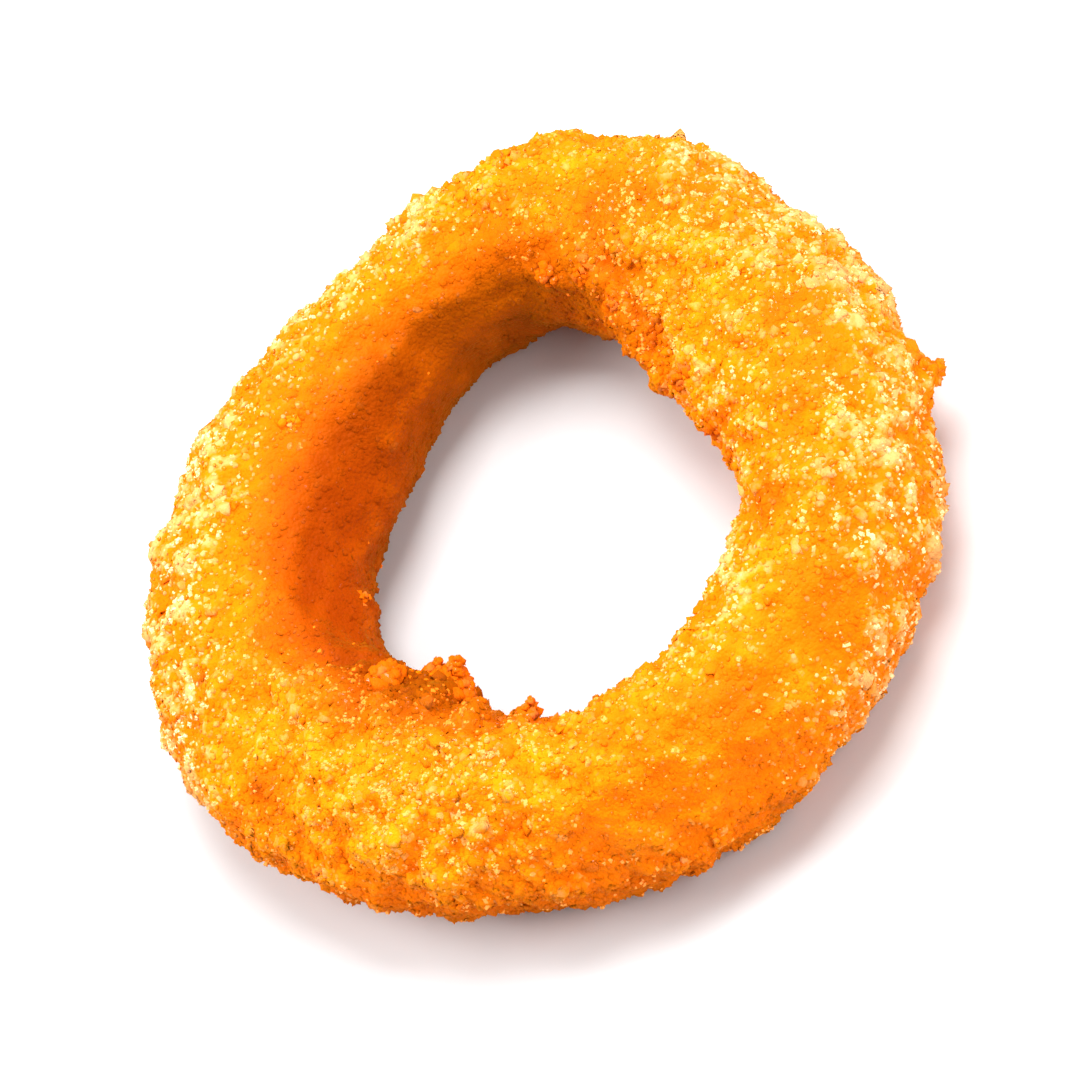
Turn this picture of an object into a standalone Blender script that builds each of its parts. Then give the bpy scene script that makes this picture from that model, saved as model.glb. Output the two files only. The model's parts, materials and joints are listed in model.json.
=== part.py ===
"""One crumbed and fried onion ring, lying flat on the table.

The ring is a thick wall of minced onion in a crumb crust, bent round an open middle. It is one
piece: a round section swept round the ring's axis, made uneven in the way a formed and fried
ring is, and settled flat where it lies. Metres, +Z up; the origin is at the middle of its base.
"""

import math

import bmesh
import bpy
from mathutils import Matrix, Vector, noise

MM = 0.001

# Driving sizes of the ring before its unevenness.
CENTRE_RADIUS = 23.5 * MM  # from the ring's axis to the middle of its wall
HALF_WIDTH = 8.0 * MM  # half of the wall, measured along the radius
HALF_HEIGHT = 7.8 * MM  # half of the wall, measured upwards
SETTLE = 0.9 * MM  # how far the underside is flattened by lying on it

# How finely the solid is faceted.
SECTION_SIDES = 34
RING_STEPS = 110

# A ring is never quite round. Each wave is (swells round the ring, size, where a swell lies in degrees).
RADIUS_WAVES = ((2, 0.6 * MM, 70), (3, 0.8 * MM, 45), (4, 0.5 * MM, 56))
WIDTH_WAVES = ((1, 0.4 * MM, 90), (2, 1.0 * MM, -9), (3, 0.3 * MM, 22), (4, 0.4 * MM, 15))
HEIGHT_WAVES = ((1, 0.3 * MM, 223), (3, 0.2 * MM, 100))

# The crust swells and sinks at random: (size of a swell, its depth).
CRUST_SWELLS = ((9.0 * MM, 0.55 * MM), (4.5 * MM, 0.3 * MM))
SWELL_SEED = Vector((3.7, 11.2, 5.9))

# Clotted crumb and dents, each (degrees round the ring, degrees round the section, spread, height).
# Round the section, 0 faces outwards, 90 up and 180 into the hole.
LUMPS = (
    (333, -12, 1.8 * MM, 1.6 * MM),  # flake that stands out of the rim
    (252, -15, 1.7 * MM, 0.8 * MM),  # nubs along the lower edge
    (258, -10, 1.3 * MM, 0.7 * MM),
    (200, 6, 2.0 * MM, 0.5 * MM),
    (184, 2, 4.0 * MM, 0.6 * MM),
    (135, 30, 2.0 * MM, 0.5 * MM),
    (50, 33, 2.6 * MM, 0.8 * MM),  # shoulders beside the hollow
    (20, 78, 4.0 * MM, 0.9 * MM),
    (38, 86, 3.2 * MM, -1.1 * MM),  # hollow across the top
    (184, 96, 3.0 * MM, -0.7 * MM),
    (46, 145, 1.5 * MM, 0.9 * MM),  # crumbs clotted along the hole's upper edge
    (26, 152, 1.7 * MM, 1.0 * MM),
    (8, 156, 1.8 * MM, 0.9 * MM),
    (349, 158, 1.6 * MM, 0.7 * MM),
    (152, 184, 1.2 * MM, 1.2 * MM),  # teeth on the hole's lower edge
    (191, 152, 2.2 * MM, 1.0 * MM),
    (201, 178, 1.7 * MM, 2.0 * MM),
    (234, 158, 1.5 * MM, 1.4 * MM),
    (286, 60, 6.0 * MM, -0.4 * MM),  # flatter stretches of crust
    (13, 12, 9.0 * MM, -1.8 * MM),
    (78, 35, 8.0 * MM, -0.9 * MM),
)

CRUST_COLOUR = (0.86, 0.40, 0.05, 1.0)
CRUST_ROUGHNESS = 0.5


def clear_scene():
    """Removes what Blender starts with."""
    for item in list(bpy.data.objects):
        bpy.data.objects.remove(item)


def wave_sum(waves, ring_angle):
    """The waves' sum at a place round the ring."""
    return sum(size * math.cos(swells * (ring_angle - math.radians(peak))) for swells, size, peak in waves)


def outward(ring_angle, section_angle):
    """The direction that faces away from the middle of the wall."""
    flat = math.cos(section_angle)
    return Vector((flat * math.cos(ring_angle), flat * math.sin(ring_angle), math.sin(section_angle)))


def smooth_wall(ring_angle, section_angle):
    """A point of the wall's surface before its lumps, with the underside at height 0."""
    reach = CENTRE_RADIUS + wave_sum(RADIUS_WAVES, ring_angle)
    reach += (HALF_WIDTH + wave_sum(WIDTH_WAVES, ring_angle)) * math.cos(section_angle)
    half_height = HALF_HEIGHT + wave_sum(HEIGHT_WAVES, ring_angle)
    height = half_height * (1 + math.sin(section_angle)) - SETTLE
    return Vector((reach * math.cos(ring_angle), reach * math.sin(ring_angle), height))


def lump_centres():
    """Each lump as (centre, spread, height)."""
    places = []
    for ring_degrees, section_degrees, spread, height in LUMPS:
        centre = smooth_wall(math.radians(ring_degrees), math.radians(section_degrees))
        places.append((centre, spread, height))
    return places


def swelling(point, lumps):
    """How far the crust stands out at a point: random swells, and the lumps near it."""
    rise = 0.0
    for size, depth in CRUST_SWELLS:
        rise += depth * noise.noise(point / size + SWELL_SEED)
    for centre, spread, height in lumps:
        rise += height * math.exp(-(((point - centre).length / spread) ** 2))
    return rise


def swept_ring():
    """An even ring: a circle stood upright beside the axis and spun round it."""
    mesh = bmesh.new()
    section = bmesh.ops.create_circle(mesh, segments=SECTION_SIDES, radius=HALF_WIDTH)["verts"]
    bmesh.ops.rotate(mesh, verts=section, matrix=Matrix.Rotation(math.pi / 2, 3, "X"))
    bmesh.ops.translate(mesh, verts=section, vec=(CENTRE_RADIUS, 0, 0))
    bmesh.ops.spin(
        mesh,
        geom=mesh.verts[:] + mesh.edges[:],
        axis=(0, 0, 1),
        angle=math.tau,
        steps=RING_STEPS,
        use_merge=True,
    )
    bmesh.ops.recalc_face_normals(mesh, faces=mesh.faces[:])
    return mesh


def make_uneven(mesh):
    """Moves each point of the even ring to its place on the real one, and flattens the underside."""
    lumps = lump_centres()
    for vert in mesh.verts:
        ring_angle = math.atan2(vert.co.y, vert.co.x)
        section_angle = math.atan2(vert.co.z, math.hypot(vert.co.x, vert.co.y) - CENTRE_RADIUS)
        point = smooth_wall(ring_angle, section_angle)
        point += outward(ring_angle, section_angle) * swelling(point, lumps)
        point.z = max(point.z, 0.0)
        vert.co = point


def centre_on_base(mesh):
    """Shifts the ring so that the origin is below the middle of its outline."""
    for axis in (0, 1):
        reach = [vert.co[axis] for vert in mesh.verts]
        shift = Vector((0, 0, 0))
        shift[axis] = -(min(reach) + max(reach)) / 2
        bmesh.ops.translate(mesh, verts=mesh.verts[:], vec=shift)


def crust_material():
    """Golden fried crumb."""
    material = bpy.data.materials.new("fried_crumb")
    material.use_nodes = True
    shader = material.node_tree.nodes["Principled BSDF"]
    shader.inputs["Base Color"].default_value = CRUST_COLOUR
    shader.inputs["Roughness"].default_value = CRUST_ROUGHNESS
    shader.inputs["Metallic"].default_value = 0.0
    return material


def build_onion_ring():
    """The whole ring as one object."""
    shape = swept_ring()
    make_uneven(shape)
    centre_on_base(shape)
    data = bpy.data.meshes.new("onion_ring")
    shape.to_mesh(data)
    shape.free()
    data.shade_smooth()
    data.materials.append(crust_material())
    ring = bpy.data.objects.new("onion_ring", data)
    bpy.context.scene.collection.objects.link(ring)
    return ring


clear_scene()
build_onion_ring()
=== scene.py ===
# %% [markdown]
# # A crumbed and fried onion ring
#
# This lesson dresses one fried onion ring. The solid ring already exists as a plain, closed shape of
# the right size. What is missing is everything the eye reads as food: the grain of the crumb, the
# clots and bare patches, the soft shading of a golden crust, and the oil that glints on it.

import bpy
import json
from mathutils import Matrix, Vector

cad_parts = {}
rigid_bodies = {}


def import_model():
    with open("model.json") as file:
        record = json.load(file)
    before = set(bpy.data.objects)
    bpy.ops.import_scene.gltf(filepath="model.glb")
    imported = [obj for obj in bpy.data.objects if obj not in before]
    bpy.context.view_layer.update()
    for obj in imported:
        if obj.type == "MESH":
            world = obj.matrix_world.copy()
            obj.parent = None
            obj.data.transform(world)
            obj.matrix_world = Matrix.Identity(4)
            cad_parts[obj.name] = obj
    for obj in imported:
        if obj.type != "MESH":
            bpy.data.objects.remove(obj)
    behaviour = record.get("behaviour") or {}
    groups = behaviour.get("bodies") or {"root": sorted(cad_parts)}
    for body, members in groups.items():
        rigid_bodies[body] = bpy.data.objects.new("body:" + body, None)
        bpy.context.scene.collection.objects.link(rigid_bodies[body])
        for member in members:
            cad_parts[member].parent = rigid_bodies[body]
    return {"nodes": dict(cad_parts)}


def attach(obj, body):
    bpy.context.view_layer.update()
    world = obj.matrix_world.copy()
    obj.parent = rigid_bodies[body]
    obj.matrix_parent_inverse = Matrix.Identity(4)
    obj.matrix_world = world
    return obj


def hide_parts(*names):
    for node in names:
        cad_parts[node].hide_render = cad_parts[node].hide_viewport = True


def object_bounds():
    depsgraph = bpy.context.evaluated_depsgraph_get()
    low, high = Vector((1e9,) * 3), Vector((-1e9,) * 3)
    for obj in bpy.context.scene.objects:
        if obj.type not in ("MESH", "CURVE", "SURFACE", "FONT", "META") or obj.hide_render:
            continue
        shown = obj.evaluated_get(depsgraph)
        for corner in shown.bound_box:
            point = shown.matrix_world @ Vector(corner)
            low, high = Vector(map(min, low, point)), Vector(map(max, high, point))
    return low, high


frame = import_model()
solid_low, solid_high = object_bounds()
print("solid ring, mm:", [round(side * 1000, 1) for side in solid_high - solid_low])

# %% [markdown]
# Lengths are in metres, but crumbs are thought of in millimetres, so a short name for a millimetre
# keeps the numbers readable. Every random choice is seeded, so the ring is the same on every run.

# %% Tools and units
import json
import math
import random

import bmesh
import bpy
import numpy as np
from mathutils import Euler, Matrix, Vector, noise
from mathutils.bvhtree import BVHTree

MM = 0.001
SEED = 7
chance = random.Random(SEED)
print("a millimetre is", MM, "and the seed is", SEED)

# %% [markdown]
# ## Camera
#
# The ring is seen from half above, with its far side towards the upper left of the frame: a camera
# 52 degrees above the table, rolled 45 degrees. Food this small is best seen through a long lens from
# some way off, which keeps the near and the far wall of the ring the same size. The distance is worked
# out from the ring's width, so that the ring fills a chosen share of the frame.

# %% Point the camera
CAMERA_ELEVATION = math.radians(52)
CAMERA_ROLL = math.radians(-45)
LENS = 280.0
RING_SHARE = 0.80
NEAREST_SEEN = 0.05  # in camera distances
FARTHEST_SEEN = 20


def add_object(name, data):
    """Puts a mesh, a lamp or a camera in the scene as an object at the origin."""
    thing = bpy.data.objects.new(name, data)
    bpy.context.scene.collection.objects.link(thing)
    return thing


ring_middle = (solid_low + solid_high) / 2
ring_width = solid_high.x - solid_low.x
camera_data = bpy.data.cameras.new("camera")
camera_data.lens = LENS
camera_distance = ring_width / RING_SHARE * LENS / camera_data.sensor_width
camera_data.clip_start = camera_distance * NEAREST_SEEN
camera_data.clip_end = camera_distance * FARTHEST_SEEN
camera = add_object("camera", camera_data)
back = Vector((0, -math.cos(CAMERA_ELEVATION), math.sin(CAMERA_ELEVATION)))
upright = (-back).to_track_quat("-Z", "Y").to_matrix()
turn = upright @ Matrix.Rotation(CAMERA_ROLL, 3, "Z")
camera.matrix_world = Matrix.Translation(ring_middle + back * camera_distance) @ turn.to_4x4()
bpy.context.scene.camera = camera
print("camera distance, m:", round(camera_distance, 3))

# %% [markdown]
# ## Light
#
# Three soft boxes light the ring. The one overhead does most of the work, from pale yellow on top to
# deep orange in the hole, and it is the only one that the oil mirrors, as small bright points. One
# from the front and one from the far left lift the sides. They are hidden from reflections, because
# every grain would wear a grey veil if it mirrored them too.

# %% Set the lights
LIGHT_DISTANCE = 0.60


def soft_box(name, direction, width, watts):
    """A square area light that faces the ring."""
    data = bpy.data.lights.new(name, "AREA")
    data.shape = "SQUARE"
    data.size = width
    data.energy = watts
    lamp = add_object(name, data)
    lamp.location = ring_middle + direction.normalized() * LIGHT_DISTANCE
    lamp.rotation_euler = direction.to_track_quat("Z", "Y").to_euler()
    return lamp


main_light = soft_box("main_light", Vector((0.38, 0.18, 0.90)), width=0.36, watts=5.1)
front_light = soft_box("front_light", Vector((0.42, -0.68, 0.50)), width=0.40, watts=2.9)
side_light = soft_box("side_light", Vector((-0.55, 0.50, 0.65)), width=0.40, watts=4.3)
front_light.visible_glossy = False
side_light.visible_glossy = False
print("lights, watts:", [round(lamp.data.energy, 1) for lamp in (main_light, front_light, side_light)])

# %% [markdown]
# The world adds a little white from all around, as the walls of a studio do, and is hidden from
# reflections for the same reason. Whites are left to clip, because bright orange that turns to yellow
# is what makes fried food look fresh, so colours are shown without a film curve.

# %% Light the room
WORLD_BRIGHTNESS = 0.50

world = bpy.data.worlds.new("studio")
world.use_nodes = True
background = world.node_tree.nodes["Background"]
background.inputs["Color"].default_value = (1, 1, 1, 1)
background.inputs["Strength"].default_value = WORLD_BRIGHTNESS
bpy.context.scene.world = world
world.cycles_visibility.glossy = False
bpy.context.scene.view_settings.view_transform = "Standard"
print("world brightness:", WORLD_BRIGHTNESS)

# %% [markdown]
# The ring lies on a plain table, a light grey that this light makes nearly white. It is one large
# sheet a hair below the ring, so that the two never share a plane.

# %% Lay the table
TABLE_WIDTH = 3.0
TABLE_GAP = 0.05 * MM
TABLE_COLOUR = (0.60, 0.605, 0.61)
TABLE_ROUGHNESS = 0.6


def mesh_from(shape, name):
    """The finished shape as a mesh of this name."""
    mesh = bpy.data.meshes.new(name)
    shape.to_mesh(mesh)
    shape.free()
    return mesh


def plain_material(name, colour, roughness):
    """One colour all over, for things that aren't the food."""
    material = bpy.data.materials.new(name)
    material.use_nodes = True
    shader = material.node_tree.nodes["Principled BSDF"]
    shader.inputs["Base Color"].default_value = (*colour, 1)
    shader.inputs["Roughness"].default_value = roughness
    return material


table_shape = bmesh.new()
bmesh.ops.create_grid(table_shape, x_segments=1, y_segments=1, size=TABLE_WIDTH / 2)
bmesh.ops.translate(table_shape, verts=table_shape.verts[:], vec=(0, 0, -TABLE_GAP))
table_top = add_object("table_top", mesh_from(table_shape, "table_top"))
table_top.data.materials.append(plain_material("white_table", TABLE_COLOUR, TABLE_ROUGHNESS))
table_top.visible_glossy = False
print("table width, m:", TABLE_WIDTH)

# %% [markdown]
# ## The crust's own surface
#
# Under the loose crumbs lies a continuous crust: batter that has set, with crumbs half sunk into it.
# It starts as a copy of the solid ring. The solid's facets are loose triangles, so they are merged
# first. Two levels of subdivision then round the facets off and give about 80,000 small faces, enough
# to carry relief about as fine as a large grain.

# %% Copy and refine the ring
MERGE_REACH = 0.001 * MM
REFINE_LEVELS = 2


def settled_mesh(thing, name):
    """The object's mesh as its modifiers leave it, as a new plain mesh."""
    depsgraph = bpy.context.evaluated_depsgraph_get()
    evaluated = thing.evaluated_get(depsgraph)
    mesh = bpy.data.meshes.new_from_object(evaluated, preserve_all_data_layers=True, depsgraph=depsgraph)
    mesh.name = name
    return mesh


copy_shape = bmesh.new()
copy_shape.from_mesh(frame["nodes"]["onion_ring"].data)
bmesh.ops.remove_doubles(copy_shape, verts=copy_shape.verts[:], dist=MERGE_REACH)
plain_ring = add_object("plain_ring", mesh_from(copy_shape, "plain_ring"))
refine = plain_ring.modifiers.new("refine", "SUBSURF")
refine.levels = REFINE_LEVELS
refine.render_levels = REFINE_LEVELS
crust_mesh = settled_mesh(plain_ring, "crust")
bpy.data.objects.remove(plain_ring)
print("crust faces:", len(crust_mesh.polygons))

# %% [markdown]
# Places on the ring are named by two angles. The first goes round the ring, as on a clock face seen
# from above. The second goes round the wall's own round section: 0 faces outwards, 90 up and 180 into
# the hole. Both need the ring's axis and the middle of its wall, which are measured on the crust.

# %% Measure the ring
def vectors_of(items, name):
    """One vector of each item, as rows of an array."""
    values = np.empty(len(items) * 3, np.float32)
    items.foreach_get(name, values)
    return values.reshape(-1, 3).astype(float)


crust_points = vectors_of(crust_mesh.vertices, "co")
ring_axis = Vector((*crust_points[:, :2].mean(axis=0), 0))
beside_axis = crust_points[:, :2] - np.array(ring_axis[:2])
wall_radius = float(np.hypot(*beside_axis.T).mean())
wall_height = solid_high.z / 2
print("middle of the wall, mm: radius", round(wall_radius / MM, 2), "height", round(wall_height / MM, 2))

# %% [markdown]
# A ray from the middle of the wall, sent out along the second angle, finds the crust. A search tree
# over the faces makes that quick.

# %% Find places on the crust
def surface_tree(mesh):
    """A search tree over the mesh's faces, for rays."""
    shape = bmesh.new()
    shape.from_mesh(mesh)
    tree = BVHTree.FromBMesh(shape)
    shape.free()
    return tree


smooth_tree = surface_tree(crust_mesh)


def place_on_crust(ring_degrees, section_degrees, tree=smooth_tree):
    """The point of the crust at these two angles, and the direction that faces away from it."""
    ring_angle = math.radians(ring_degrees)
    section_angle = math.radians(section_degrees)
    outward = Vector((math.cos(ring_angle), math.sin(ring_angle), 0))
    middle = ring_axis + outward * wall_radius + Vector((0, 0, wall_height))
    away = outward * math.cos(section_angle) + Vector((0, 0, math.sin(section_angle)))
    point, normal, _, _ = tree.ray_cast(middle, away)
    return point, normal


print("top of the wall at 0 degrees, mm:", round(place_on_crust(0, 90)[0].z / MM, 2))

# %% [markdown]
# A ring is not crumbed evenly. Where it was pressed or rubbed, the crust is bare and nearly smooth,
# above all on the wall of the hole. Where crumb was thrown on, it is rough. Some spots met hotter oil
# and are toasted. Others are pale, partly as paler crumb and partly as painted light on the outer side,
# where light falls, and deep in the hole the colour is darkened as painted shade. Each of these is a
# mask: soft round patches at places given by their two angles. The patches could be painted by hand,
# but a short list of places is easier to read and to change.

# %% List the patches
# Each patch is (degrees round the ring, degrees round the section, reach in millimetres, strength).
BARE_PATCHES = (
    (80, 185, 9, 0.75),
    (110, 170, 9, 0.75),
    (140, 165, 9, 0.75),
    (165, 175, 6, 0.6),
    (60, 190, 7, 0.6),
    (40, 200, 7, 0.5),
    (286, 42, 5, 0.75),
    (264, 22, 5, 0.7),
    (246, 34, 4, 0.6),
    (336, 60, 5, 0.45),
    (100, 15, 4, 0.3),
)
ROUGH_PATCHES = (
    (209, 77, 5, 1.0),
    (186, 87, 5, 0.9),
    (220, 50, 5, 0.9),
    (235, 100, 5, 0.8),
    (178, 119, 4, 0.8),
    (192, 140, 5, 1.0),
    (208, 155, 5, 1.0),
    (232, 145, 5, 0.8),
    (23, 99, 6, 0.9),
    (2, 82, 6, 0.8),
    (343, 44, 6, 0.8),
    (40, 135, 5, 1.0),
    (15, 145, 5, 1.0),
    (64, 60, 5, 0.8),
)
TOASTED_PATCHES = (
    (34, 86, 3.5, 0.9),
    (52, 115, 4.5, 0.7),
    (344, 80, 3.5, 0.5),
    (328, 79, 3, 0.4),
    (272, 51, 4, 0.5),
    (292, 41, 4, 0.4),
    (186, 45, 2, 1.0),
    (306, 109, 2.5, 0.6),
    (190, 140, 5, 0.7),
    (210, 155, 5, 0.7),
    (234, 145, 4, 0.6),
    (24, 150, 4, 0.4),
    (12, 92, 5, 0.25),
    (254, 72, 5, 0.25),
    (165, 105, 5, 0.3),
)
# Pale patches are partly paler crumb and partly painted light, on the outer side where light falls.
PALE_AND_LIT_PATCHES = (
    (78, 48, 6, 0.9),
    (98, 45, 6.5, 1.0),
    (118, 42, 6.5, 1.0),
    (138, 42, 6.5, 1.0),
    (156, 34, 5.5, 1.0),
    (128, 20, 6, 1.0),
    (148, 16, 6, 1.0),
    (166, 12, 6, 1.0),
    (20, 20, 6, 0.7),
    (2, 15, 6, 0.8),
    (344, 25, 6, 0.9),
    (324, 25, 6, 0.9),
    (308, 5, 7, 1.0),
    (288, -18, 7, 1.0),
    (275, 105, 4, 0.4),
    (290, 130, 5, 0.5),
    (312, 140, 5, 0.6),
    (338, 135, 5, 0.5),
    (225, 80, 5, 0.2),
)
# Patches of painted shade, where the colour deep in the hole is darkest.
HOLE_SHADE_PATCHES = (
    (100, 160, 8, 0.5),
    (125, 150, 8, 0.8),
    (145, 155, 8, 0.9),
    (165, 160, 8, 1.0),
)

print("bare patches:", len(BARE_PATCHES), "pale patches:", len(PALE_AND_LIT_PATCHES))

# %% [markdown]
# Real patches have ragged outlines. Smooth noise makes clouds over the crust that break them up, each
# shifted to a place of its own in the noise, so that no two fall together.

# %% Make the clouds
NOISE_SHIFT = Vector((13.1, 4.7, 8.3))


def cloud(size, shift):
    """Smooth noise at each point of the crust, about -1 to 1, with swells of the given size."""
    move = NOISE_SHIFT + Vector((shift, -shift, shift))
    return np.array([noise.noise(Vector(point) / size + move) for point in crust_points])


broad_cloud = cloud(6 * MM, shift=0.0)
small_cloud = cloud(2.2 * MM, shift=5.0)
print("broad cloud from", round(broad_cloud.min(), 2), "to", round(broad_cloud.max(), 2))

# %% [markdown]
# Each list of patches becomes one number for each point of the crust, strongest in the middle of a
# patch. The clouds can stretch a mask, add to it or take from it. Where crust is bare it can't be
# rough, and where it is toasted it can't be pale.

# %% Make the patches into masks
def patch_mask(patches):
    """How strongly each point of the crust lies in any of the patches, 0 to 1."""
    rest = np.ones(len(crust_points))
    for ring_degrees, section_degrees, reach, strength in patches:
        centre, _ = place_on_crust(ring_degrees, section_degrees)
        distance = np.linalg.norm(crust_points - np.array(centre), axis=1)
        rest *= 1 - strength * np.exp(-((distance / (reach * MM)) ** 2))
    return 1 - rest


def ragged_mask(patches, gain=1.0, mottled=0.0, broad=0.0, small=0.0, shift=0.0):
    """The patches broken up by clouds: mottled multiplies by the small ones, broad and small add."""
    mask = patch_mask(patches) * (gain + mottled * small_cloud)
    return np.clip(mask + broad * broad_cloud + small * small_cloud + shift, 0, 1)


bare = ragged_mask(BARE_PATCHES, gain=1.15, small=0.25, shift=-0.08)
rough = ragged_mask(ROUGH_PATCHES, broad=0.35, small=0.25) * (1 - bare)
toasted = ragged_mask(TOASTED_PATCHES, gain=0.9, mottled=0.5, broad=0.25)
pale = ragged_mask(PALE_AND_LIT_PATCHES, gain=0.8, mottled=0.5) * (1 - toasted)
shaded = patch_mask(HOLE_SHADE_PATCHES)
print("bare, rough, toasted shares:", [round(float(mask.mean()), 2) for mask in (bare, rough, toasted)])

# %% [markdown]
# Two more masks follow from where a point lies. The wall of the hole is deep orange, partly browning
# and partly painted shade, most of all on its far side. The other is painted shade in rust: low down
# near the table, on faces turned down, and most of all on the near side.
# Both need the two angles of every point, and a slope from 0 to 1 between two values.

# %% Mask the wall of the hole and the low painted shade
def slope(values, start, full):
    """0 at the start value, 1 at the full value, straight between them and level beyond."""
    return np.clip((values - start) / (full - start), 0, 1)


FAR_SIDE = 130  # degrees round the ring
NEAR_SIDE = 228
NEAR_SIDE_SPREAD = 38
HOLE_UPPER_EDGE = (98, 146)  # degrees round the section
HOLE_LOWER_EDGE = (290, 230)
LOW_SHADE_HEIGHT = 7 * MM
DOWNWARD = (0.30, -0.20)  # upward share of the normal

ring_angles = np.arctan2(beside_axis[:, 1], beside_axis[:, 0])
out_of_middle = np.hypot(*beside_axis.T) - wall_radius
section_degrees = np.degrees(np.arctan2(crust_points[:, 2] - wall_height, out_of_middle)) % 360
# Partly browning and partly painted shade: the wall of the hole takes the most deep orange on its far side.
far_side = np.clip(0.70 + 0.9 * np.cos(ring_angles - math.radians(FAR_SIDE)), 0, 1)
hole_wall = slope(section_degrees, *HOLE_UPPER_EDGE) * slope(section_degrees, *HOLE_LOWER_EDGE)
hole_wall = np.clip(hole_wall * (1 + 0.2 * small_cloud) * far_side, 0, 1)

# Painted shade: rust near the table, on faces turned down, and most on the near side.
from_near_side = (np.degrees(ring_angles) % 360 - NEAR_SIDE) / NEAR_SIDE_SPREAD
near_side = 0.08 + 0.92 * np.exp(-(from_near_side**2))
facing_down = slope(vectors_of(crust_mesh.vertices, "normal")[:, 2], *DOWNWARD)
skirt = slope(crust_points[:, 2], LOW_SHADE_HEIGHT, 0) * (0.75 + 0.35 * small_cloud)
skirt = np.clip(np.maximum(skirt, 0.8 * facing_down) * near_side, 0, 1)
print("hole wall, skirt shares:", [round(float(mask.mean()), 2) for mask in (hole_wall, skirt)])

# %% [markdown]
# The relief is four layers laid one on the other: broad swells, heaps of crumb two or three
# millimetres across, round knobs, and grains just under a millimetre. Knobs and grains come from the
# distance to the nearest of many scattered points, which makes round tops. Every layer but the swells
# is held back where the crust is bare, and heaps are highest where it is rough.

# %% Make the layers of relief
SWELL_SIZE = 4.0 * MM
KNOB_SIZE = 1.6 * MM
HEAP_SIZE = 2.3 * MM
GRAIN_SIZE = 0.85 * MM
ROUND_REACH = 0.75  # how far a round top reaches towards the next, in sizes


def round_tops(size, shift):
    """Round tops of the given size at each point of the crust: 1 on top, 0 between them."""
    move = NOISE_SHIFT + Vector((shift, shift, -shift))
    nearest = np.array([noise.voronoi(Vector(point) / size + move)[0][0] for point in crust_points])
    return np.clip(1 - nearest / ROUND_REACH, 0, 1)


covered = 1 - 0.8 * bare
swells = cloud(SWELL_SIZE, shift=9.0)
knobs = round_tops(KNOB_SIZE, shift=3.0)
heaps = np.clip(cloud(HEAP_SIZE, shift=15.0) * 1.8 + 0.35, 0, 1) * (0.40 + 0.85 * rough)
grains = round_tops(GRAIN_SIZE, shift=7.0)
print("knobs, heaps, grains means:", [round(float(layer.mean()), 2) for layer in (knobs, heaps, grains)])

# %% [markdown]
# How high a point stands is kept as a mask of its own, because the colours paint light on crests and
# shade in pits. It follows the layers, each counted from about its mean, with one more cloud so that no
# two crests are painted alike.

# %% Mask the crests
CREST_SIZE = 1.5 * MM

raised = 0.5 + 0.35 * swells + 0.6 * (heaps - 0.25) * covered + 0.7 * (knobs - 0.4) * covered
raised += 0.35 * cloud(CREST_SIZE, shift=21.0)
raised = np.clip(raised + 0.2 * rough - 0.3 * bare, 0, 1)
print("raised from", round(float(raised.min()), 2), "to", round(float(raised.max()), 2))

# %% [markdown]
# Now the crust itself is moved. Every point goes along its own normal, and the underside is kept level
# with the table. The directions that the crust faces before its finest grain are kept on the mesh: the
# materials lean on them for soft shading. The masks are kept there too, for crumbs and materials.

# %% Raise the relief
SWELL_HEIGHT = 0.70 * MM
KNOB_HEIGHT = 0.60 * MM
HEAP_HEIGHT = 0.80 * MM
GRAIN_HEIGHT = 0.28 * MM
SINK = 0.80 * MM  # lets the tops end about where the solid ring ends

normals = vectors_of(crust_mesh.vertices, "normal")


def move_points(mesh, points):
    """Puts the mesh's vertices at these points, but none of them below the table."""
    points[:, 2] = np.maximum(points[:, 2], 0.0)
    mesh.vertices.foreach_set("co", points.astype(np.float32).ravel())
    mesh.update()


def store(mesh, name, values):
    """Keeps one number for each vertex on the mesh, in place of any that it kept under this name."""
    if name in mesh.attributes:
        mesh.attributes.remove(mesh.attributes[name])
    layer = mesh.attributes.new(name, "FLOAT", "POINT")
    layer.data.foreach_set("value", np.asarray(values, np.float32))


broad_rise = SWELL_HEIGHT * swells + (KNOB_HEIGHT * knobs + HEAP_HEIGHT * heaps) * covered - SINK
move_points(crust_mesh, crust_points + normals * broad_rise[:, None])
broad_normals = vectors_of(crust_mesh.vertices, "normal")
full_rise = broad_rise + GRAIN_HEIGHT * grains * covered
move_points(crust_mesh, crust_points + normals * full_rise[:, None])
broad_layer = crust_mesh.attributes.new("broad_normal", "FLOAT_VECTOR", "POINT")
broad_layer.data.foreach_set("vector", broad_normals.astype(np.float32).ravel())
crust_masks = {"bare": bare, "rough": rough, "toasted": toasted, "pale": pale}
crust_masks.update({"shaded": shaded, "hole_wall": hole_wall, "skirt": skirt, "raised": raised})
for mask_name, mask in crust_masks.items():
    store(crust_mesh, mask_name, mask)
crust_mesh.shade_smooth()
relief_tree = surface_tree(crust_mesh)
crust = add_object("crust", crust_mesh)
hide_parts("onion_ring")
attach(crust, "root")
print("crust keeps:", ", ".join(crust_masks))

# %% [markdown]
# ## Crumbs
#
# Crumbs are crushed bread: blunt, uneven grains. At this size a grain only needs a few faces, because
# what the eye catches is its outline and its glint. Middling grains start from an icosahedron of 20
# faces, and larger ones from a cube whose faces are cut in four and rounded. The finest, which are
# there for their glint, start from plain cubes, because flat faces flash where round ones only shine.

# %% Start the three shapes of grain
SHARP_SIDE = 0.72
LARGE_SIDE = 0.8
LARGE_ROUNDING = 0.5


def sharp_grain(shape):
    """A cube, about one unit across."""
    bmesh.ops.create_cube(shape, size=SHARP_SIDE)


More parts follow.
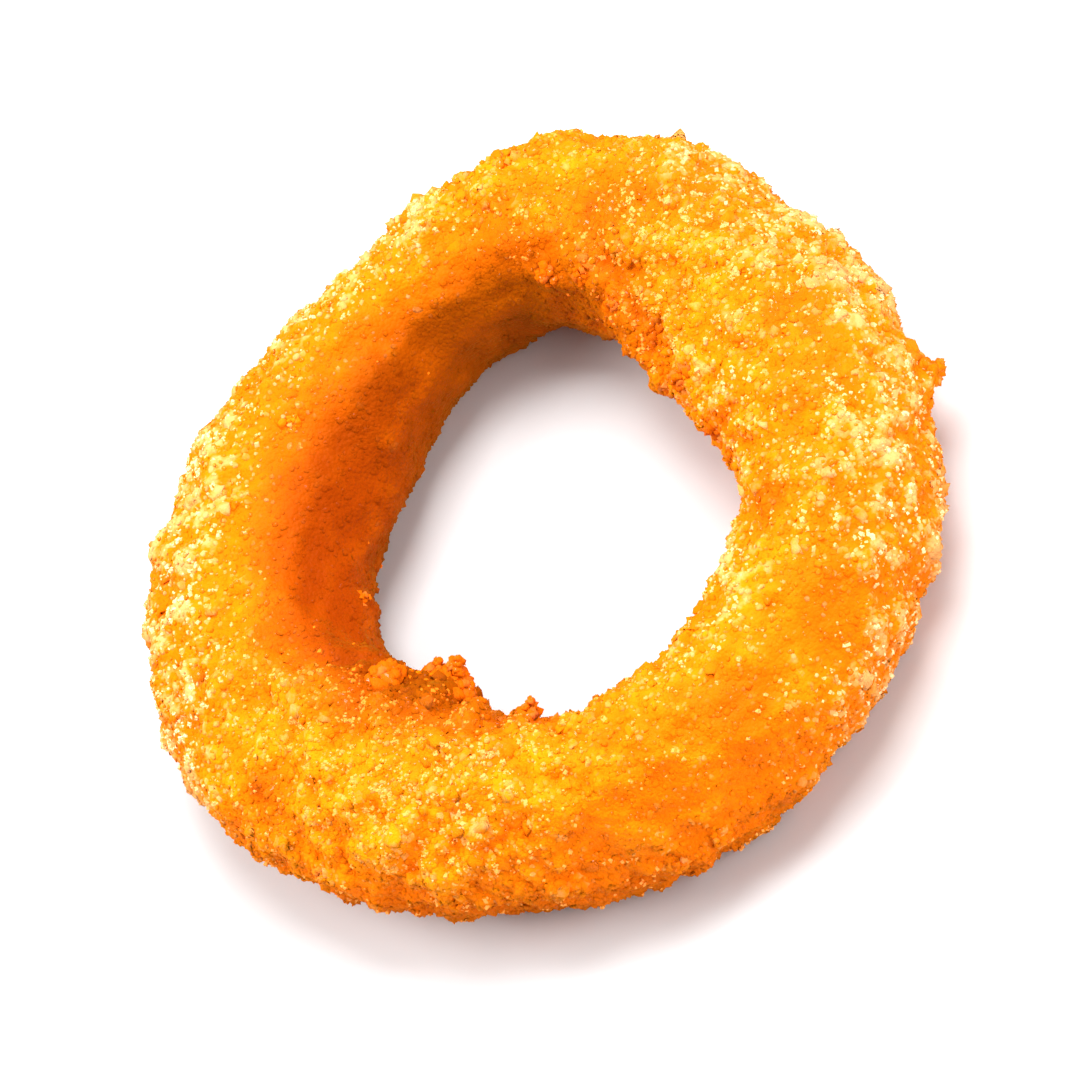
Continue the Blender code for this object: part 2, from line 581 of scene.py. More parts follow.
def small_grain(shape):
    """An icosahedron, one unit across."""
    bmesh.ops.create_icosphere(shape, subdivisions=1, radius=0.5)


def large_grain(shape):
    """A cube cut once each way and rounded, about one unit across."""
    bmesh.ops.create_cube(shape, size=LARGE_SIDE)
    bmesh.ops.subdivide_edges(shape, edges=shape.edges[:], cuts=1, use_grid_fill=True)
    for vert in shape.verts:
        vert.co = vert.co.lerp(vert.co.normalized() * 0.5, LARGE_ROUNDING)


print("sides of the two cubes:", SHARP_SIDE, LARGE_SIDE)

# %% [markdown]
# No two crumbs of a heap look alike, but a dozen models do for thousands, once each is turned and
# sized by chance. A model is stretched along its three sides, and each of its corners is pulled in or
# out. The models wait in a collection that isn't shown in the scene.

# %% Make the model grains
LENGTHS = (0.75, 1.25)
WIDTHS = (0.7, 1.1)
THICKNESSES = (0.8, 1.2)


def model_grains(name, start, count, unevenness, flatness):
    """A collection of differently pulled grains. Flatness is how thin a grain is beside its width."""
    family = bpy.data.collections.new(name)
    for number in range(count):
        shape = bmesh.new()
        start(shape)
        sides = (chance.uniform(*LENGTHS), chance.uniform(*WIDTHS), flatness * chance.uniform(*THICKNESSES))
        for vert in shape.verts:
            vert.co *= 1 + unevenness * chance.uniform(-1, 1)
            vert.co = vert.co * Vector(sides)
        bmesh.ops.recalc_face_normals(shape, faces=shape.faces[:])
        mesh = mesh_from(shape, f"{name}_{number}")
        family.objects.link(bpy.data.objects.new(mesh.name, mesh))
    return family


dust_models = model_grains("dust_model", sharp_grain, count=10, unevenness=0.22, flatness=0.8)
fine_models = model_grains("fine_model", small_grain, count=8, unevenness=0.22, flatness=0.85)
middle_models = model_grains("middle_model", small_grain, count=12, unevenness=0.28, flatness=0.8)
coarse_models = model_grains("coarse_model", large_grain, count=14, unevenness=0.30, flatness=0.7)

# %% [markdown]
# Crumbs are strewn with geometry nodes, and the finishes are shader nodes. Node trees get long when
# each node takes four lines, so a few helpers do what repeats.

# %% Small helpers for nodes
def feed(tree, target, value):
    """Links a socket to the target, or fills the target in with a plain value."""
    if isinstance(value, bpy.types.NodeSocket):
        tree.links.new(value, target)
    else:
        target.default_value = value


def add_node(tree, kind, inputs=None, **settings):
    """Adds a node with these settings, and feeds its inputs, by name or by number."""
    node = tree.nodes.new(kind)
    for name, value in settings.items():
        setattr(node, name, value)
    for name, value in (inputs or {}).items():
        feed(tree, node.inputs[name], value)
    return node


def add_socket(group, name, kind, way="INPUT"):
    """Adds a named socket to a node group."""
    return group.interface.new_socket(name, in_out=way, socket_type=kind)


def maths(tree, operation, *values):
    """One step of arithmetic between sockets or numbers."""
    return add_node(tree, "ShaderNodeMath", dict(enumerate(values)), operation=operation).outputs[0]


print("node helpers:", [helper.__name__ for helper in (feed, add_node, add_socket, maths)])

# %% [markdown]
# One geometry-nodes group strews every kind of crumb, each with its own numbers. It works in four
# steps: it scatters points over the crust, gives each a size, sinks it, and sets a grain on it.

# %% Open the strewing group
strew_crumbs = bpy.data.node_groups.new("strew_crumbs", "GeometryNodeTree")
add_socket(strew_crumbs, "Geometry", "NodeSocketGeometry")
add_socket(strew_crumbs, "Crumbs", "NodeSocketCollection")
for number_name in ("Spacing", "Density", "Smallest", "Largest", "Skew", "Sunk", "Growth"):
    add_socket(strew_crumbs, number_name, "NodeSocketFloat")
add_socket(strew_crumbs, "Seed", "NodeSocketInt")
add_socket(strew_crumbs, "Geometry", "NodeSocketGeometry", "OUTPUT")
given = add_node(strew_crumbs, "NodeGroupInput").outputs
print("given to the group:", [socket.name for socket in given if socket.name])

# %% [markdown]
# Real crumbs don't lie inside each other, so no two points come closer than the spacing. More of them
# are kept where the mask named cover is strong. Each point also keeps a random number, its tone, for
# the colour of its grain. Every throw of the dice adds a number of its own to the seed, so that tone,
# size and turn don't follow each other.

# %% Scatter the points
DICE_SEEDS = {"tone": 11, "size": 23, "model": 37, "turn": 41}
DICE_SOCKETS = {"FLOAT": (2, 3, 1), "FLOAT_VECTOR": (0, 1, 0), "INT": (4, 5, 2)}  # low, high, result


def kept_number(name):
    """The number that each point, or the bed below it, keeps under this name."""
    node = add_node(strew_crumbs, "GeometryNodeInputNamedAttribute", {"Name": name}, data_type="FLOAT")
    return node.outputs["Attribute"]


def keep_number(points, name, value):
    """Keeps a number on each point under this name."""
    inputs = {"Geometry": points, "Name": name, "Value": value}
    kind = "GeometryNodeStoreNamedAttribute"
    return add_node(strew_crumbs, kind, inputs, data_type="FLOAT", domain="POINT").outputs["Geometry"]


def dice(purpose, kind, low, high):
    """A random value for each point, between two ends."""
    low_socket, high_socket, result = DICE_SOCKETS[kind]
    seed = maths(strew_crumbs, "ADD", given["Seed"], DICE_SEEDS[purpose])
    inputs = {low_socket: low, high_socket: high, "Seed": seed}
    return add_node(strew_crumbs, "FunctionNodeRandomValue", inputs, data_type=kind).outputs[result]


scatter = add_node(
    strew_crumbs,
    "GeometryNodeDistributePointsOnFaces",
    {
        "Mesh": given["Geometry"],
        "Distance Min": given["Spacing"],
        "Density Max": given["Density"],
        "Density Factor": kept_number("cover"),
        "Seed": given["Seed"],
    },
    distribute_method="POISSON",
)
toned_points = keep_number(scatter.outputs["Points"], "tone", dice("tone", "FLOAT", 0.0, 1.0))
print("scattering method:", scatter.distribute_method)

# %% [markdown]
# Crushed bread has many small grains and few large ones. A throw between 0 and 1, raised to the power
# skew, says where a grain lies between smallest and largest. Growth makes it larger on rough crust.

# %% Size the grains
size_range = maths(strew_crumbs, "SUBTRACT", given["Largest"], given["Smallest"])
size_share = maths(strew_crumbs, "POWER", dice("size", "FLOAT", 0.0, 1.0), given["Skew"])
even_size = maths(
    strew_crumbs, "ADD", given["Smallest"], maths(strew_crumbs, "MULTIPLY", size_share, size_range)
)
growth = maths(strew_crumbs, "MULTIPLY", kept_number("rough"), given["Growth"])
grown_size = maths(strew_crumbs, "MULTIPLY", even_size, maths(strew_crumbs, "ADD", 1.0, growth))
sized_points = keep_number(toned_points, "size", grown_size)
print("nodes so far:", len(strew_crumbs.nodes))

# %% [markdown]
# A crumb that only touches the crust looks as if it floats. So each point is lowered along the
# crust's normal by a share of its grain's size, and the batter seems to hold the grain.

# %% Sink the grains
upward = maths(strew_crumbs, "MULTIPLY", given["Sunk"], -1.0)
depth = maths(strew_crumbs, "MULTIPLY", kept_number("size"), upward)
offset = add_node(
    strew_crumbs, "ShaderNodeVectorMath", {0: scatter.outputs["Normal"], "Scale": depth}, operation="SCALE"
)
lower = add_node(
    strew_crumbs, "GeometryNodeSetPosition", {"Geometry": sized_points, "Offset": offset.outputs["Vector"]}
)
print("nodes so far:", len(strew_crumbs.nodes))

# %% [markdown]
# Last, every point gets a model grain, turned by chance and scaled to its size. Copies of a model are
# lost when the mesh is taken, so they are made real geometry.

# %% Set the grains
MOST_MODELS = 99  # a throw up to this goes round and round the collection

family = add_node(
    strew_crumbs,
    "GeometryNodeCollectionInfo",
    {"Collection": given["Crumbs"], "Separate Children": True, "Reset Children": True},
)
setter = add_node(
    strew_crumbs,
    "GeometryNodeInstanceOnPoints",
    {
        "Points": lower.outputs["Geometry"],
        "Instance": family.outputs["Instances"],
        "Pick Instance": True,
        "Instance Index": dice("model", "INT", 0, MOST_MODELS),
        "Rotation": dice("turn", "FLOAT_VECTOR", (0, 0, 0), (math.tau,) * 3),
        "Scale": kept_number("size"),
    },
)
real = add_node(strew_crumbs, "GeometryNodeRealizeInstances", {"Geometry": setter.outputs["Instances"]})
add_node(strew_crumbs, "NodeGroupOutput", {"Geometry": real.outputs["Geometry"]})
print("nodes in all:", len(strew_crumbs.nodes))

# %% [markdown]
# To strew one kind, a bed is copied and given the mask named cover. The underside, pressed against the
# table, takes no crumb. The bed wears the group as a modifier, and what comes out is taken as one
# mesh, with the masks of the bed carried over to every grain.

# %% Write the strewing function
UNDERSIDE = 0.5 * MM
UNDERSIDE_EDGE = 0.8 * MM


def strewn_mesh(name, bed_mesh, cover, settings):
    """The mesh that the strewing group makes on a copy of the bed."""
    bed_mesh = bed_mesh.copy()
    heights = vectors_of(bed_mesh.vertices, "co")[:, 2]
    above_table = np.clip((heights - UNDERSIDE) / UNDERSIDE_EDGE, 0, 1)
    store(bed_mesh, "cover", np.clip(cover, 0, 1) * above_table)
    bed = add_object(name + "_bed", bed_mesh)
    modifier = bed.modifiers.new("strew", "NODES")
    modifier.node_group = strew_crumbs
    for item in strew_crumbs.interface.items_tree:
        if item.in_out == "INPUT" and item.name.lower() in settings:
            modifier[item.identifier] = settings[item.name.lower()]
    mesh = settled_mesh(bed, name)
    bpy.data.objects.remove(bed)
    return mesh


def strew(name, crumbs, cover, bed_mesh=crust_mesh, faceted=False, **numbers):
    """One kind of crumb over a bed, as one piece. The numbers are those of the strewing group."""
    mesh = strewn_mesh(name, bed_mesh, cover, {"crumbs": crumbs, **numbers})
    move_points(mesh, vectors_of(mesh.vertices, "co"))
    if not faceted:
        mesh.shade_smooth()
    piece = add_object(name, mesh)
    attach(piece, "root")
    print(name, "triangles:", sum(len(face.vertices) - 2 for face in mesh.polygons))
    return piece


print("no crumb below, mm:", round(UNDERSIDE / MM, 2))

# %% [markdown]
# Now the kinds. Fine crumb fills the gaps, and only thins out where the crust is bare. Pale and golden
# crumb make the body of the coat. Coarse crumb sits proud of it, mostly in the rough patches.

# %% Strew the crumbs
PER_SQUARE_MM = 1 / MM**2

fine_crumbs = strew(
    "fine_crumbs", fine_models, cover=1 - 0.6 * bare, spacing=0.47 * MM, density=4 * PER_SQUARE_MM,
    smallest=0.30 * MM, largest=0.58 * MM, skew=1.3, sunk=0.12, growth=0.0, seed=3,
)
body = {
    "crumbs": middle_models, "cover": 1 - 0.8 * bare, "spacing": 0.465 * MM, "density": 4 * PER_SQUARE_MM,
    "smallest": 0.40 * MM, "skew": 1.6, "sunk": 0.20, "growth": 0.2,
}
pale_crumbs = strew("pale_crumbs", largest=0.85 * MM, seed=5, **body)
golden_crumbs = strew("golden_crumbs", largest=0.90 * MM, seed=9, **body)
coarse_crumbs = strew(
    "coarse_crumbs", coarse_models, cover=(0.45 + 0.55 * rough) * (1 - 0.9 * bare), spacing=0.8 * MM,
    density=1.2 * PER_SQUARE_MM, smallest=0.70 * MM, largest=1.50 * MM, skew=1.8, sunk=0.22, growth=0.15,
    seed=15,
)

# %% [markdown]
# The finest crumb is like a dusting of sugar: grains a third of a millimetre across, in drifts on the
# tops of the others. The pale crumbs are its bed, and the masks that they carry say where it may lie:
# on the outer side of a grain that stands high and isn't bare, most of all in pale and rough patches.

# %% Find the tops of the grains
DRIFT_SIZE = 1.4 * MM
THINNEST_DRIFT = 0.03


def numbers_of(mesh, name):
    """The numbers that a mesh keeps under this name, one for each vertex."""
    values = np.empty(len(mesh.vertices), np.float32)
    mesh.attributes[name].data.foreach_get("value", values)
    return values


def tops_of_grains(mesh):
    """Strong in drifts on the outer side of the grains, where they stand high and aren't bare."""
    crust_directions = vectors_of(mesh.attributes["broad_normal"].data, "vector")
    outer_side = (vectors_of(mesh.vertices, "normal") * crust_directions).sum(axis=1)
    outer_side = np.clip(2.0 * outer_side - 0.4, 0, 1)
    points = vectors_of(mesh.vertices, "co")
    drifts = np.array([noise.noise(Vector(point) / DRIFT_SIZE + NOISE_SHIFT) for point in points])
    height = numbers_of(mesh, "raised")
    clusters = np.clip(0.35 + 2.6 * drifts + 1.4 * (height - 0.45), THINNEST_DRIFT, 1)
    pale_or_rough = np.maximum(numbers_of(mesh, "pale"), numbers_of(mesh, "rough"))
    clear = (1 - 0.9 * numbers_of(mesh, "bare")) * (1 - 0.6 * numbers_of(mesh, "hole_wall"))
    return outer_side * clusters * clear * (0.3 + 0.7 * pale_or_rough)


dust_cover = tops_of_grains(pale_crumbs.data)
print("mean dust cover:", round(float(dust_cover.mean()), 3))

# %% [markdown]
# The dust is strewn as the other kinds are, only closer. Its faces stay flat, so that they flash.

# %% Strew the dust
dust_crumbs = strew(
    "dust_crumbs", dust_models, cover=dust_cover, bed_mesh=pale_crumbs.data, faceted=True,
    spacing=0.15 * MM, density=60 * PER_SQUARE_MM, smallest=0.20 * MM, largest=0.44 * MM, skew=1.4,
    sunk=0.15, growth=0.0, seed=21,
)

# %% [markdown]
# Here and there crumbs have stuck to each other before they reached the oil. These clots stand a
# millimetre or two proud: along the upper lip of the hole, as teeth on its lower edge, and as a flake
# on the rim. Like the patches, they are listed by their places.

# %% List the clots
# Each clot is (degrees round the ring, degrees round the section, spread and height in mm, grains).
CLOTS = (
    (334, 342, 1.3, 1.5, 40),
    (46, 143, 0.9, 1.2, 22),
    (35, 139, 1.1, 1.1, 25),
    (25, 151, 1.3, 1.2, 32),
    (10, 155, 1.3, 1.2, 32),
    (351, 157, 1.1, 1.0, 25),
    (336, 169, 1.0, 0.9, 22),
    (152, 182, 0.7, 0.9, 14),
    (191, 148, 1.6, 1.2, 40),
    (197, 172, 1.1, 1.6, 32),
    (202, 174, 1.3, 2.1, 50),
    (210, 166, 1.2, 1.3, 32),
    (217, 160, 1.1, 1.0, 25),
    (226, 155, 1.0, 0.9, 22),
    (234, 150, 1.1, 1.4, 29),
    (112, 116, 1.0, 0.7, 18),
    (129, 33, 0.8, 0.8, 14),
    (138, 33, 0.7, 0.7, 11),
    (250, 345, 1.3, 0.9, 25),
    (257, 348, 1.1, 0.8, 22),
    (219, 2, 1.0, 0.7, 18),
    (198, 12, 1.1, 0.7, 18),
    (54, 35, 1.3, 0.8, 22),
    (49, 31, 1.0, 0.7, 14),
    (38, 24, 1.2, 0.8, 22),
    (64, 41, 1.0, 0.6, 14),
)

print("clots:", len(CLOTS), "grains in them:", sum(clot[-1] for clot in CLOTS))

# %% [markdown]
# Each clot is ten to fifty coarse grains around its place on the crust. The first are large and low
# and make its body, and the later ones are smaller and stand on them, which gives it a ragged top.

# %% Build the clots
CLOT_SINK = 0.35 * MM
LIP = (130, 200)  # degrees round the section
LIP_TOASTING = 0.7
OPEN_TOASTING = 0.2
CLOT_RAISED = 0.6


def add_grain(shape, place, size, kept):
    """Adds a coarse grain, turned by chance, whose corners keep these pairs of layer and value."""
    before = len(shape.verts)
    shape.from_mesh(chance.choice(coarse_models.objects[:]).data)
    shape.verts.ensure_lookup_table()
    turned = Euler([chance.uniform(0, math.tau) for _ in range(3)]).to_matrix()
    for vert in shape.verts[before:]:
        vert.co = turned @ (vert.co * size) + place
        for layer, value in kept:
            vert[layer] = value


def add_clot(shape, layers, ring_degrees, section_degrees, spread, height, count):
    """Adds one clot, from its large low grains to its small high ones."""
    centre, _ = place_on_crust(ring_degrees, section_degrees, relief_tree)
    _, away = place_on_crust(ring_degrees, section_degrees)
    side = away.orthogonal().normalized()
    other = away.cross(side)
    toasting = LIP_TOASTING if LIP[0] < section_degrees < LIP[1] else OPEN_TOASTING
    for number in range(count):
        turn = chance.uniform(0, math.tau)
        climb = number / count
        reach = spread * MM * math.sqrt(chance.random()) * (0.9 - 0.6 * climb)
        place = centre + (side * math.cos(turn) + other * math.sin(turn)) * reach
        place += away * (height * MM * climb - CLOT_SINK)
        size = chance.uniform(0.8, 1.2) * (1.3 - 0.85 * math.sqrt(climb)) * (spread * MM)
        add_grain(shape, place, size, list(zip(layers, (chance.random(), toasting, CLOT_RAISED, away))))


def clotted_crumbs():
    """All the clots as one mesh."""
    shape = bmesh.new()
    numbers = [shape.verts.layers.float.new(name) for name in ("tone", "toasted", "raised")]
    directions = shape.verts.layers.float_vector.new("broad_normal")
    for clot in CLOTS:
        add_clot(shape, (*numbers, directions), *clot)
    bmesh.ops.recalc_face_normals(shape, faces=shape.faces[:])
    mesh = mesh_from(shape, "clotted_crumbs")
    mesh.shade_smooth()
    return mesh


clots = add_object("clotted_crumbs", clotted_crumbs())
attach(clots, "root")
print("clot faces:", len(clots.data.polygons))

# %% [markdown]
# ## Finishes
#
# Between the crumbs and on them is a grain too fine for any mesh here: the holes and edges of bread.
# It is a bump made of small domes and a little noise. Crust and crumbs share it as one node group.

# %% The shared grain group
SPECKLE_SHARE = 0.6


def fine_grain_group():
    """Bump height of the finest grain, which no mesh here is fine enough to carry."""
    group = bpy.data.node_groups.new("fine_grain", "ShaderNodeTree")
    add_socket(group, "Size", "NodeSocketFloat")
    add_socket(group, "Height", "NodeSocketFloat", "OUTPUT")
    place = add_node(group, "ShaderNodeTexCoord").outputs["Object"]
    scale = maths(group, "DIVIDE", 1.0, add_node(group, "NodeGroupInput").outputs["Size"])
    cells = add_node(group, "ShaderNodeTexVoronoi", {"Vector": place, "Scale": scale}, feature="F1")
    finer = maths(group, "MULTIPLY", scale, 2.0)
    speckle = add_node(group, "ShaderNodeTexNoise", {"Vector": place, "Scale": finer, "Detail": 1.0})
    domes = maths(group, "SUBTRACT", 1.0, cells.outputs["Distance"])
    height = maths(group, "MULTIPLY_ADD", speckle.outputs["Fac"], SPECKLE_SHARE, domes)
    add_node(group, "NodeGroupOutput", {"Height": height})
    return group


fine_grain = fine_grain_group()
print("fine grain nodes:", len(fine_grain.nodes))

# %% [markdown]
# Light goes a little way into fried crumb and comes out beside where it went in, so a grain has hardly
# any dark side. True scattering inside nearly a million small faces takes very long to work out. The
# same softness comes from shading each grain partly as if it faced the way the crust below it does,
# and from small crumbs that cast no shadow, which is set where they get their materials.

# %% The shared soft normal group
def soft_normal_group():
    """Turns the surface's own normal part of the way towards that of the crust below."""
    group = bpy.data.node_groups.new("soft_normal", "ShaderNodeTree")
    add_socket(group, "Softness", "NodeSocketFloat")
    add_socket(group, "Normal", "NodeSocketVector", "OUTPUT")
    softness = add_node(group, "NodeGroupInput").outputs["Softness"]
    own = add_node(group, "ShaderNodeNewGeometry").outputs["Normal"]
    broad = add_node(group, "ShaderNodeAttribute", attribute_name="broad_normal").outputs["Vector"]
    to_world = {"vector_type": "NORMAL", "convert_from": "OBJECT", "convert_to": "WORLD"}
    turned = add_node(group, "ShaderNodeVectorTransform", {"Vector": broad}, **to_world).outputs["Vector"]
    mix = add_node(group, "ShaderNodeMix", {0: softness, 4: own, 5: turned}, data_type="VECTOR").outputs[1]
    unit = add_node(group, "ShaderNodeVectorMath", {0: mix}, operation="NORMALIZE").outputs[0]
    add_node(group, "NodeGroupOutput", {"Normal": unit})
    return group


soft_normal = soft_normal_group()
print("soft normal nodes:", len(soft_normal.nodes))

# %% [markdown]
# The fried surface is a dull, warm body with a little sheen, and oil lies on some of its grains as a
# clear coat. One function makes it, so crust, crumbs and dust differ only in what they are given.

# %% One recipe for fried surfaces
BODY_ROUGHNESS = 0.5
BODY_IOR = 1.4
BODY_SPECULAR = 0.04
SHEEN = 0.15
SHEEN_ROUGHNESS = 0.4
SHEEN_TINT = (1.0, 0.60, 0.03)
OIL_ROUGHNESS = 0.18


def fried_material(name, colour_of, softness, bump, grain_size, oil_of=None):
    """A fried surface: colour from a function, soft shading, fine grain, and oil from a function."""
    material = bpy.data.materials.new(name)
    material.use_nodes = True
    tree = material.node_tree
    grain = add_node(tree, "ShaderNodeGroup", {"Size": grain_size}, node_tree=fine_grain)
    soft = add_node(tree, "ShaderNodeGroup", {"Softness": softness}, node_tree=soft_normal)
    relief_inputs = {"Distance": bump, "Height": grain.outputs["Height"], "Normal": soft.outputs["Normal"]}
    relief = add_node(tree, "ShaderNodeBump", relief_inputs)
    shader = tree.nodes["Principled BSDF"]
    tree.links.new(relief.outputs["Normal"], shader.inputs["Normal"])
    tree.links.new(colour_of(tree), shader.inputs["Base Color"])
    shader.inputs["Roughness"].default_value = BODY_ROUGHNESS
    shader.inputs["IOR"].default_value = BODY_IOR
    shader.inputs["Specular IOR Level"].default_value = BODY_SPECULAR
    shader.inputs["Sheen Weight"].default_value = SHEEN
    shader.inputs["Sheen Roughness"].default_value = SHEEN_ROUGHNESS
    shader.inputs["Sheen Tint"].default_value = (*SHEEN_TINT, 1)
    if oil_of:
        tree.links.new(oil_of(tree), shader.inputs["Coat Weight"])
        shader.inputs["Coat Roughness"].default_value = OIL_ROUGHNESS
    return material


print("body roughness, oil roughness:", BODY_ROUGHNESS, OIL_ROUGHNESS)

# %% [markdown]
# Colour and oil both follow the masks, so a few more helpers read a mask, turn it into a slope and
# weigh several together. Oil is their first use: it lies on the grains with the highest tones, about a
# sixth of them, and there is less of it down the wall of the hole.

# %% Oil the grains
OILY_TONES = (0.78, 0.88)
OIL = 0.8
OIL_LOST_IN_HOLE = 0.7


def mask_of(tree, name):
    """The number that the mesh keeps under this name."""
    return add_node(tree, "ShaderNodeAttribute", attribute_name=name).outputs["Fac"]


def weigh(tree, start, *terms, clamp=False):
    """A number, plus each value times its weight. The terms are pairs of value and weight."""
    total = start
    for value, weight in terms:
        total = maths(tree, "MULTIPLY_ADD", value, weight, total)
    total.node.use_clamp = clamp
    return total


def slope_of(tree, value, start, full):
    """0 at the start value, 1 at the full value, straight between them and level beyond."""
    rise = 1 / (full - start)
    return weigh(tree, -start * rise, (value, rise), clamp=True)


def oil_on_grains(tree):
    """Oil on some of the grains only."""
    oily = slope_of(tree, mask_of(tree, "tone"), *OILY_TONES)
    amount = weigh(tree, OIL, (mask_of(tree, "hole_wall"), -OIL_LOST_IN_HOLE))
    return maths(tree, "MULTIPLY", oily, amount)


print("share of grains with oil:", round(1 - sum(OILY_TONES) / 2, 2))

# %% [markdown]
# The colours run from pale straw through gold and amber to rust. Rust low down is painted shade, and
# the toasted patches go to toast. The wall of the hole is deep orange, partly browning and partly
# painted shade, and deepest in the patches of painted shade. Blue is kept close to nothing in all but
# the palest colours, because that is what keeps fried colours clean.

# %% Brown the colours and paint the shade
# Amber in pits, rust low down and the deep oranges of the hole are painted shade; straw and cream are
# partly painted light.
AMBER_SHADE = (0.95, 0.175, 0.001)
GOLD = (0.98, 0.29, 0.003)
STRAW_AND_LIGHT = (1.00, 0.42, 0.130)
HONEY = (0.99, 0.37, 0.070)
CREAM_AND_HIGHLIGHT = (1.00, 0.78, 0.42)
LOW_SHADE_RUST = (0.64, 0.11, 0.001)
TOAST = (0.52, 0.085, 0.001)
DEEP_ORANGE_AND_SHADE = (0.31, 0.061, 0.0001)
DEEPEST_HOLE_SHADE = (0.32, 0.038, 0.0002)


def mix_colours(tree, share, first, second):
    """Mixes two colours by a share from 0 to 1. Each colour may be a socket or three plain numbers."""
    node = add_node(tree, "ShaderNodeMix", {0: share}, data_type="RGBA")
    for target, colour in ((node.inputs[6], first), (node.inputs[7], second)):
        feed(tree, target, colour if isinstance(colour, bpy.types.NodeSocket) else (*colour, 1))
    return node.outputs[2]


def browning_and_painted_shade(tree, base, strength=1.0):
    """Rust low down as painted shade, toast where toasted, and deep orange down the wall of the hole,
    partly browning and partly painted shade.
    """
    base = mix_colours(tree, mask_of(tree, "skirt"), base, LOW_SHADE_RUST)
    toasted_or_low_shade = mix_colours(tree, maths(tree, "MULTIPLY", mask_of(tree, "toasted"), strength), base, TOAST)
    hole_orange_and_shade = mix_colours(tree, mask_of(tree, "shaded"), DEEP_ORANGE_AND_SHADE, DEEPEST_HOLE_SHADE)
    return mix_colours(tree, mask_of(tree, "hole_wall"), toasted_or_low_shade, hole_orange_and_shade)


print("red of the palest and the deepest colour:", CREAM_AND_HIGHLIGHT[0], DEEP_ORANGE_AND_SHADE[0])

# %% [markdown]
# Before browning and the painted shade low down and in the hole, the colour of a place depends on how
# high it stands, how pale the patch is, and a share of chance. Crests are gold as painted light and pits
# are amber as painted shade. Crests in pale patches go on to straw, more painted light, in flecks that
# come from fine noise. In each sum, a pair is something that counts and how much.

# %% Paint light on the crests and shade in the pits
FLECK_SIZE = 0.8 * MM
CREST_DEPTHS = (0.85, 0.225)


def noise_of(tree, size):
    """Noise on the object's own coordinates, with features of the given size in metres."""
    place = add_node(tree, "ShaderNodeTexCoord").outputs["Object"]
    return add_node(tree, "ShaderNodeTexNoise", {"Vector": place, "Scale": 1 / size}).outputs["Fac"]


def crust_tones(tree, own):
    """Painted light and shade: gold crests, amber pits and flecks of straw. Own is the place's own share,
    which darkens it.
    """
    pale_and_lit_here = mask_of(tree, "pale")
    toasted_or_low_shade = maths(tree, "MAXIMUM", mask_of(tree, "toasted"), mask_of(tree, "skirt"))
    depth = weigh(tree, 1.05, (mask_of(tree, "raised"), -1.0), (own, 1.0), (toasted_or_low_shade, 1.0))
    base = mix_colours(tree, depth, GOLD, AMBER_SHADE)
    lift = weigh(tree, 0.25, (pale_and_lit_here, 0.75))
    lit_crest = maths(tree, "MULTIPLY", slope_of(tree, depth, *CREST_DEPTHS), lift)
    flecks = noise_of(tree, FLECK_SIZE)
    painted_light = weigh(tree, -1.742, (lit_crest, 1.69), (pale_and_lit_here, 0.585), (flecks, 2.34), (own, -1.3), clamp=True)
    return mix_colours(tree, painted_light, base, STRAW_AND_LIGHT)


print("size of the flecks, mm:", round(FLECK_SIZE / MM, 2))

# %% [markdown]
# The crust drifts between lighter and darker by a noise of its own. Each crumb is made lighter or
# darker by its tone, and the smallest of the lightest go to cream, partly as painted highlights. Dust is
# honey or cream, with amber down the wall of the hole as painted shade.

# %% Colour the crust, the crumbs and the dust
DRIFTING = 0.8
DRIFT_LENGTH = 1.2 * MM
CREAM_TONES = (0.30, 0.05)
CREAM_SIZES = (0.55 * MM, 0.425 * MM)
CRUMB_TOASTING = 0.8


def crust_colour(tree):
    """The crust's tones with a drift of their own, browned and with painted shade."""
    drift = weigh(tree, -0.35, (noise_of(tree, DRIFT_LENGTH), DRIFTING))
    return browning_and_painted_shade(tree, crust_tones(tree, drift))


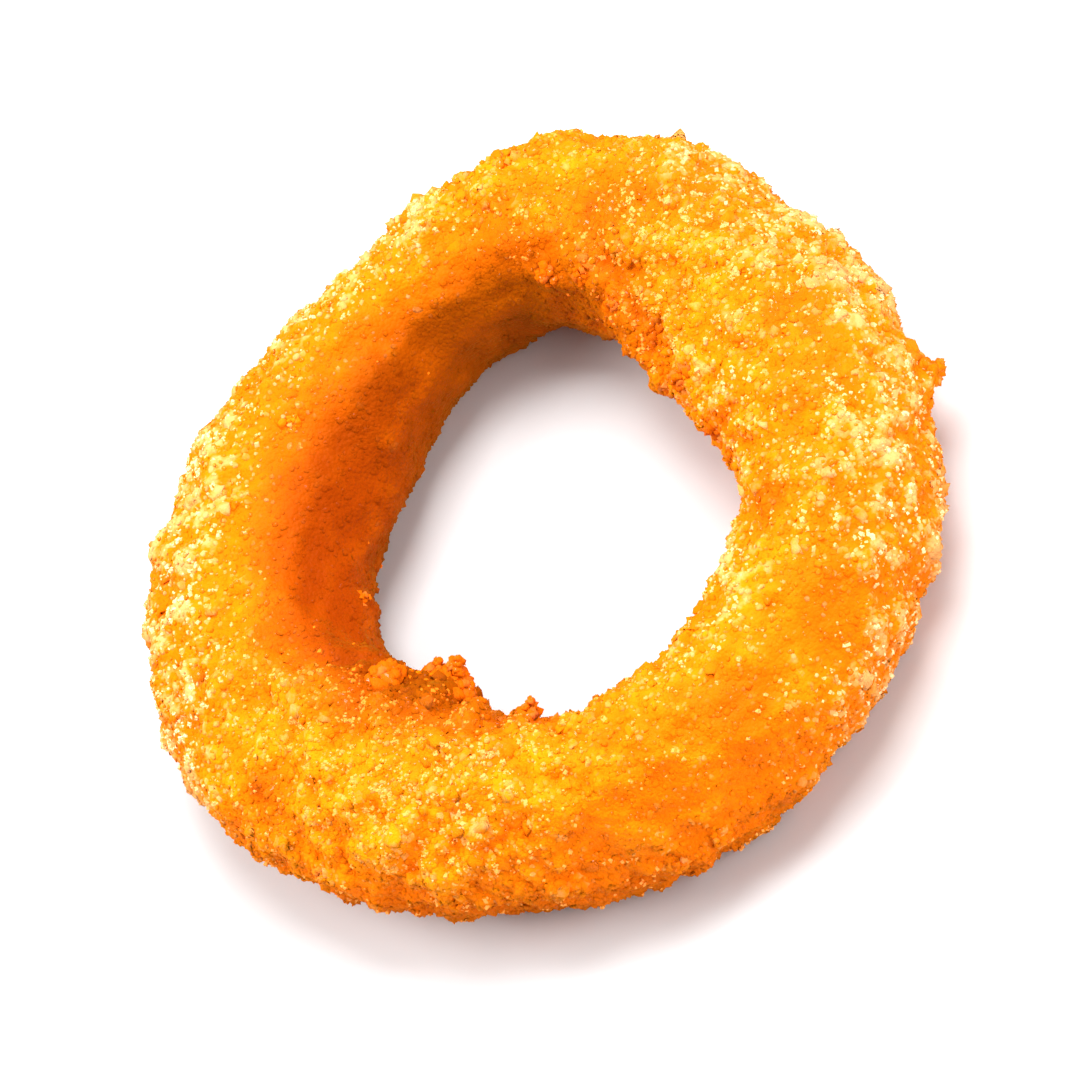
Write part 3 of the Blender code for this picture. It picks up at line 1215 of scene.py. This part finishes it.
def crumb_colour(tree):
    """As the crust at that place, made lighter or darker by each grain's tone; small light grains go to
    cream, partly as painted highlights.
    """
    own = weigh(tree, -0.30, (mask_of(tree, "tone"), 0.6))
    small = slope_of(tree, mask_of(tree, "size"), *CREAM_SIZES)
    light_grain = slope_of(tree, mask_of(tree, "tone"), *CREAM_TONES)
    where = weigh(tree, 0.10, (mask_of(tree, "pale"), 0.55))
    cream_and_highlight = maths(tree, "MULTIPLY", maths(tree, "MULTIPLY", light_grain, small), where)
    return browning_and_painted_shade(tree, mix_colours(tree, cream_and_highlight, crust_tones(tree, own), CREAM_AND_HIGHLIGHT), CRUMB_TOASTING)


def dust_and_highlight_colour(tree):
    """Honey, cream in pale patches, partly as painted highlights, and amber down the wall of the hole as
    painted shade.
    """
    base = mix_colours(tree, mask_of(tree, "pale"), HONEY, CREAM_AND_HIGHLIGHT)
    return mix_colours(tree, mask_of(tree, "hole_wall"), base, AMBER_SHADE)


print("crumbs turn to cream below, mm:", round(CREAM_SIZES[0] / MM, 3))

# %% [markdown]
# Last, each piece gets its material. The body crumbs are the softest, and the dust is the sharpest.
# The crust has a coarser grain than the crumbs, and no oil, which lies on what stands proud.

# %% Give the pieces their finishes
CRUST_SOFTNESS = 0.3
CRUST_BUMP = 0.08 * MM
CRUST_GRAIN = 0.32 * MM
CRUMB_BUMP = 0.04 * MM
CRUMB_GRAIN = 0.2 * MM


def wear(piece, colour_of, softness, bump, grain_size, oil_of=None):
    """Gives a piece a fried finish of its own."""
    name = piece.name + "_finish"
    piece.data.materials.clear()
    piece.data.materials.append(fried_material(name, colour_of, softness, bump, grain_size, oil_of))
    print(name, "softness:", softness)


wear(crust, crust_colour, CRUST_SOFTNESS, CRUST_BUMP, CRUST_GRAIN)
for piece, colour_of, softness in (
    (fine_crumbs, crumb_colour, 0.8),
    (pale_crumbs, crumb_colour, 0.8),
    (golden_crumbs, crumb_colour, 0.8),
    (coarse_crumbs, crumb_colour, 0.7),
    (clots, crumb_colour, 0.4),
    (dust_crumbs, dust_and_highlight_colour, 0.2),
):
    wear(piece, colour_of, softness, CRUMB_BUMP, CRUMB_GRAIN, oil_on_grains)
for piece in (fine_crumbs, pale_crumbs, golden_crumbs, dust_crumbs):
    piece.visible_shadow = False
